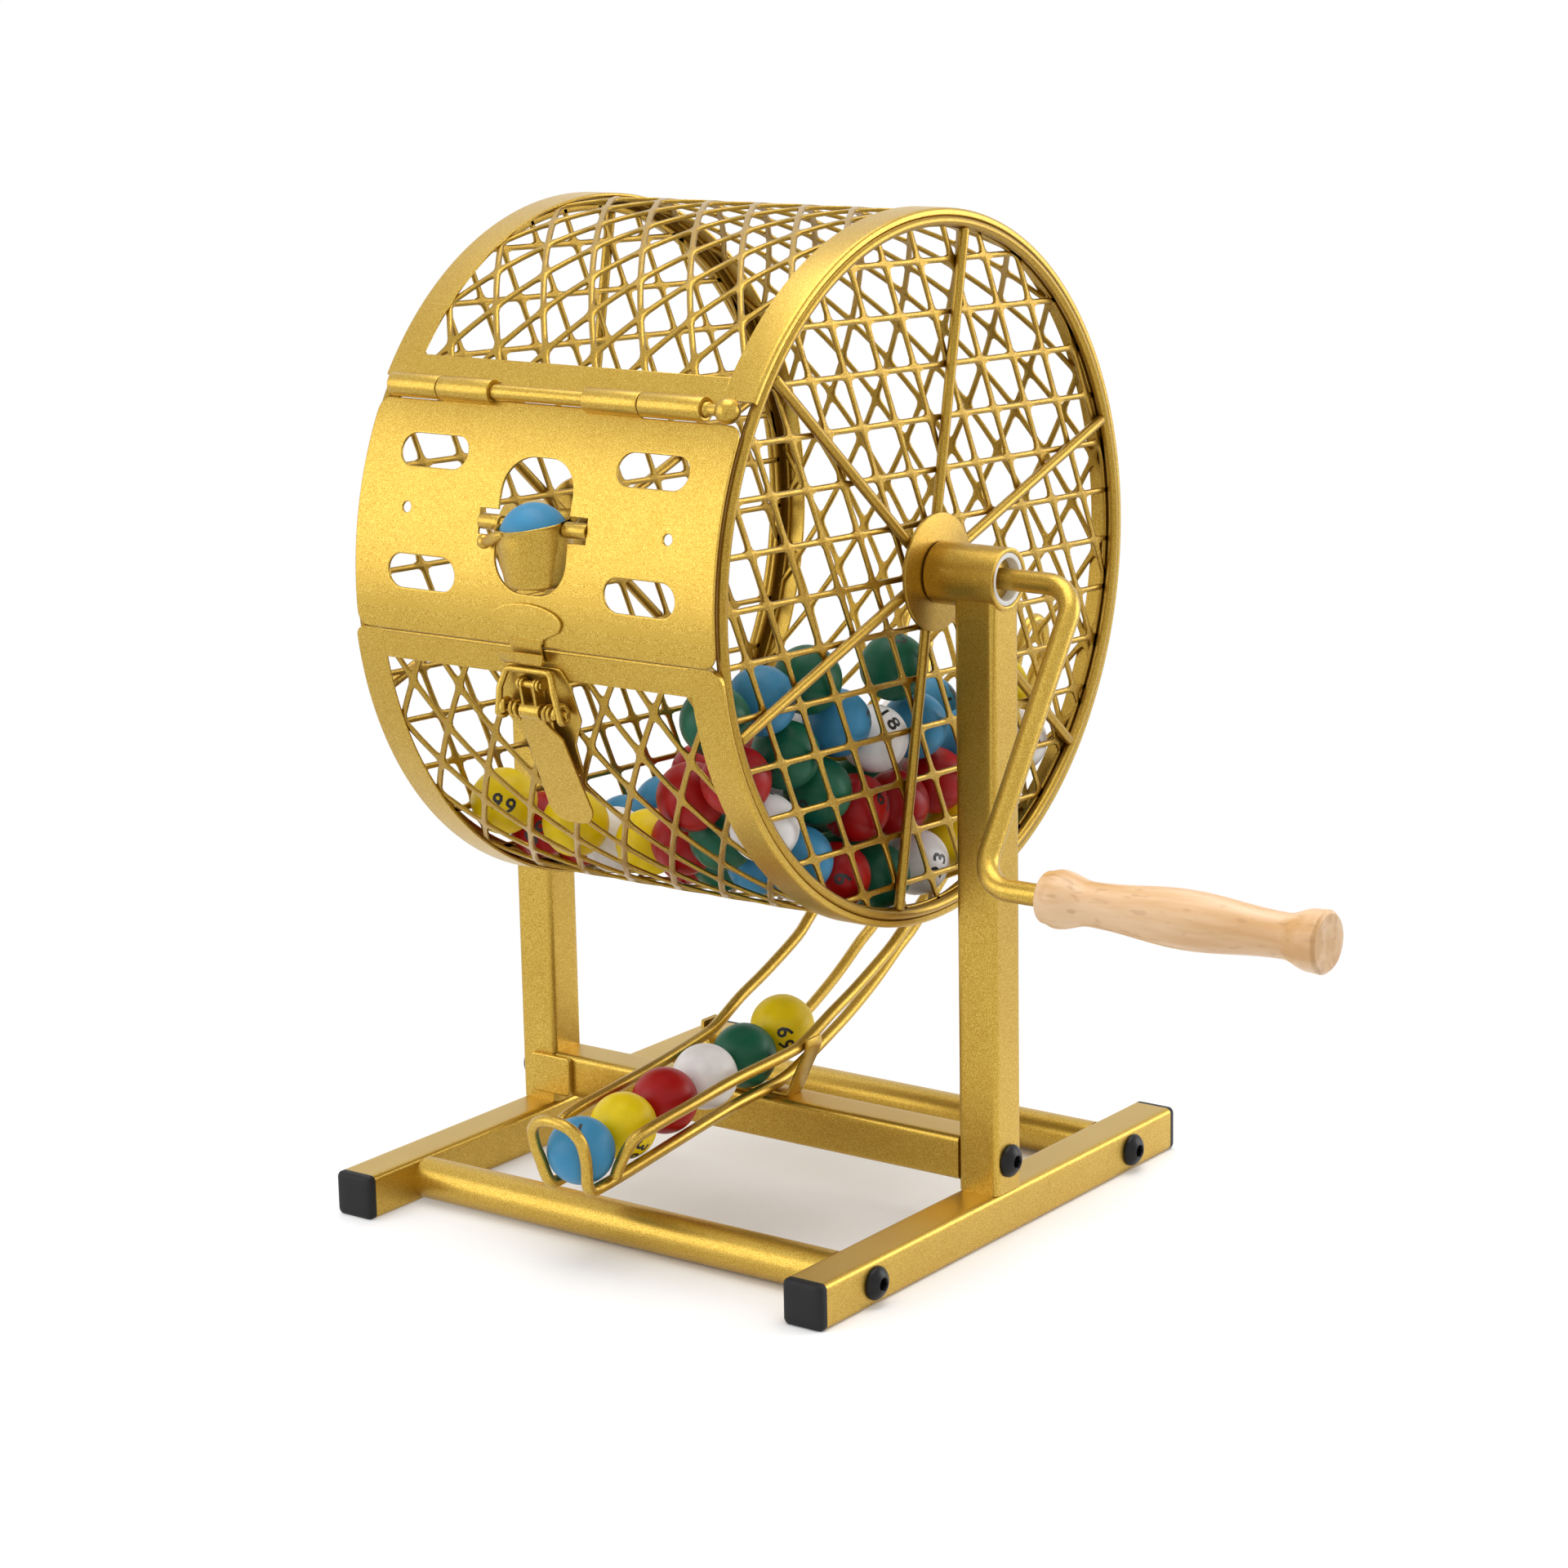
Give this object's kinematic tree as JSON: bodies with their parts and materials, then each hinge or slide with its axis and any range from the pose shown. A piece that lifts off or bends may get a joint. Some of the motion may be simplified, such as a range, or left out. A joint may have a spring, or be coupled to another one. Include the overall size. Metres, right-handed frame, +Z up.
{
  "type": "raffle drum",
  "caption": "Mesh raffle drum on a square-tube stand, with a bent crank, a latched door with a swinging ball cup, and a wire chute.",
  "frame": {"origin": "centre of the box at floor level, midway between the left bolt heads and the grip's end, and midway between the cup's front and the chute's rear bends", "axes": "+X along the drum's axle towards the crank, -Y towards the door and the ball tray, +Z up from the floor"},
  "size_m": [0.3483, 0.2634, 0.3313],
  "materials": {
    "gold_paint": "satin gold powder coat with a fine metallic grain",
    "black_plastic": "matt black moulded plastic",
    "black_steel": "black oxide steel",
    "zinc_steel": "plain zinc-plated steel",
    "white_nylon": "white nylon",
    "beech": "turned beech under satin lacquer",
    "blue_ball": "satin blue plastic with a black number",
    "yellow_ball": "satin yellow plastic with a black number",
    "red_ball": "satin red plastic with a black number",
    "white_ball": "satin white plastic with a black number",
    "green_ball": "satin green plastic with a black number"
  },
  "bodies": {
    "stand": {"left_rail": "gold_paint", "right_rail": "gold_paint", "end_caps": "black_plastic", "front_cross_tube": "gold_paint", "rear_cross_tube": "gold_paint", "centre_crossbar": "gold_paint", "tube_inserts": "zinc_steel", "foot_plate": "gold_paint", "left_upright": "gold_paint", "right_upright": "gold_paint", "left_bearing_tube": "gold_paint", "right_bearing_tube": "gold_paint", "left_bush": "white_nylon", "right_bush": "white_nylon", "base_bolts": "black_steel", "left_chute_wire": "gold_paint", "right_chute_wire": "gold_paint", "ball_stop": "gold_paint", "chute_cradle": "gold_paint", "blue_tray_ball": "blue_ball", "yellow_tray_balls": "yellow_ball", "red_tray_ball": "red_ball", "white_tray_ball": "white_ball", "green_tray_ball": "green_ball"},
    "drum": {"left_band": "gold_paint", "right_band": "gold_paint", "upper_crossbar": "gold_paint", "lower_crossbar": "gold_paint", "wall_mesh": "gold_paint", "left_end_mesh": "gold_paint", "right_end_mesh": "gold_paint", "left_rim_ring": "gold_paint", "right_rim_ring": "gold_paint", "left_spokes": "gold_paint", "right_spokes": "gold_paint", "left_hub_disc": "gold_paint", "right_hub_disc": "gold_paint", "left_axle": "gold_paint", "right_axle": "gold_paint", "crank_rod": "gold_paint", "frame_hinge_barrels": "gold_paint", "hinge_pin": "gold_paint", "latch_base": "gold_paint", "blue_drum_balls": "blue_ball", "yellow_drum_balls": "yellow_ball", "red_drum_balls": "red_ball", "white_drum_balls": "white_ball", "green_drum_balls": "green_ball"},
    "grip": {"wooden_grip": "beech"},
    "door": {"door_panel": "gold_paint", "door_hinge_barrels": "gold_paint", "latch_strike": "gold_paint", "cup_bearings": "gold_paint"},
    "cup": {"ball_cup": "gold_paint", "cup_ball": "blue_ball"},
    "lever": {"latch_lever": "gold_paint", "latch_pins": "gold_paint", "latch_springs": "gold_paint"},
    "bail": {"latch_bail": "gold_paint"}
  },
  "joints": [
    {"name": "drum_spin", "type": "hinge", "parent": "stand", "child": "drum", "pos_m": [-0.07135, -0.00936, 0.217], "axis": [-1, 0, 0], "continuous": true},
    {"name": "grip_spin", "type": "hinge", "parent": "drum", "child": "grip", "pos_m": [0.11865, -0.06628, 0.13417], "axis": [1, 0, 0], "continuous": true},
    {"name": "door_hinge", "type": "hinge", "parent": "drum", "child": "door", "pos_m": [-0.07135, -0.10636, 0.27951], "axis": [1, 0, 0], "range_deg": [-110, 0]},
    {"name": "cup_swing", "type": "hinge", "parent": "door", "child": "cup", "pos_m": [-0.07135, -0.11954, 0.24163], "axis": [-1, 0, 0], "range_deg": [0, 110]},
    {"name": "lever_turn", "type": "hinge", "parent": "drum", "child": "lever", "pos_m": [-0.07135, -0.12499, 0.19348], "axis": [-1, 0, 0], "range_deg": [0, 120]},
    {"name": "bail_turn", "type": "hinge", "parent": "lever", "child": "bail", "pos_m": [-0.07135, -0.12398, 0.185], "axis": [1, 0, 0], "range_deg": [0, 120]}
  ],
  "couplings": [
    {"joint": "bail_turn", "follows": "lever_turn", "ratio": 1}
  ]
}
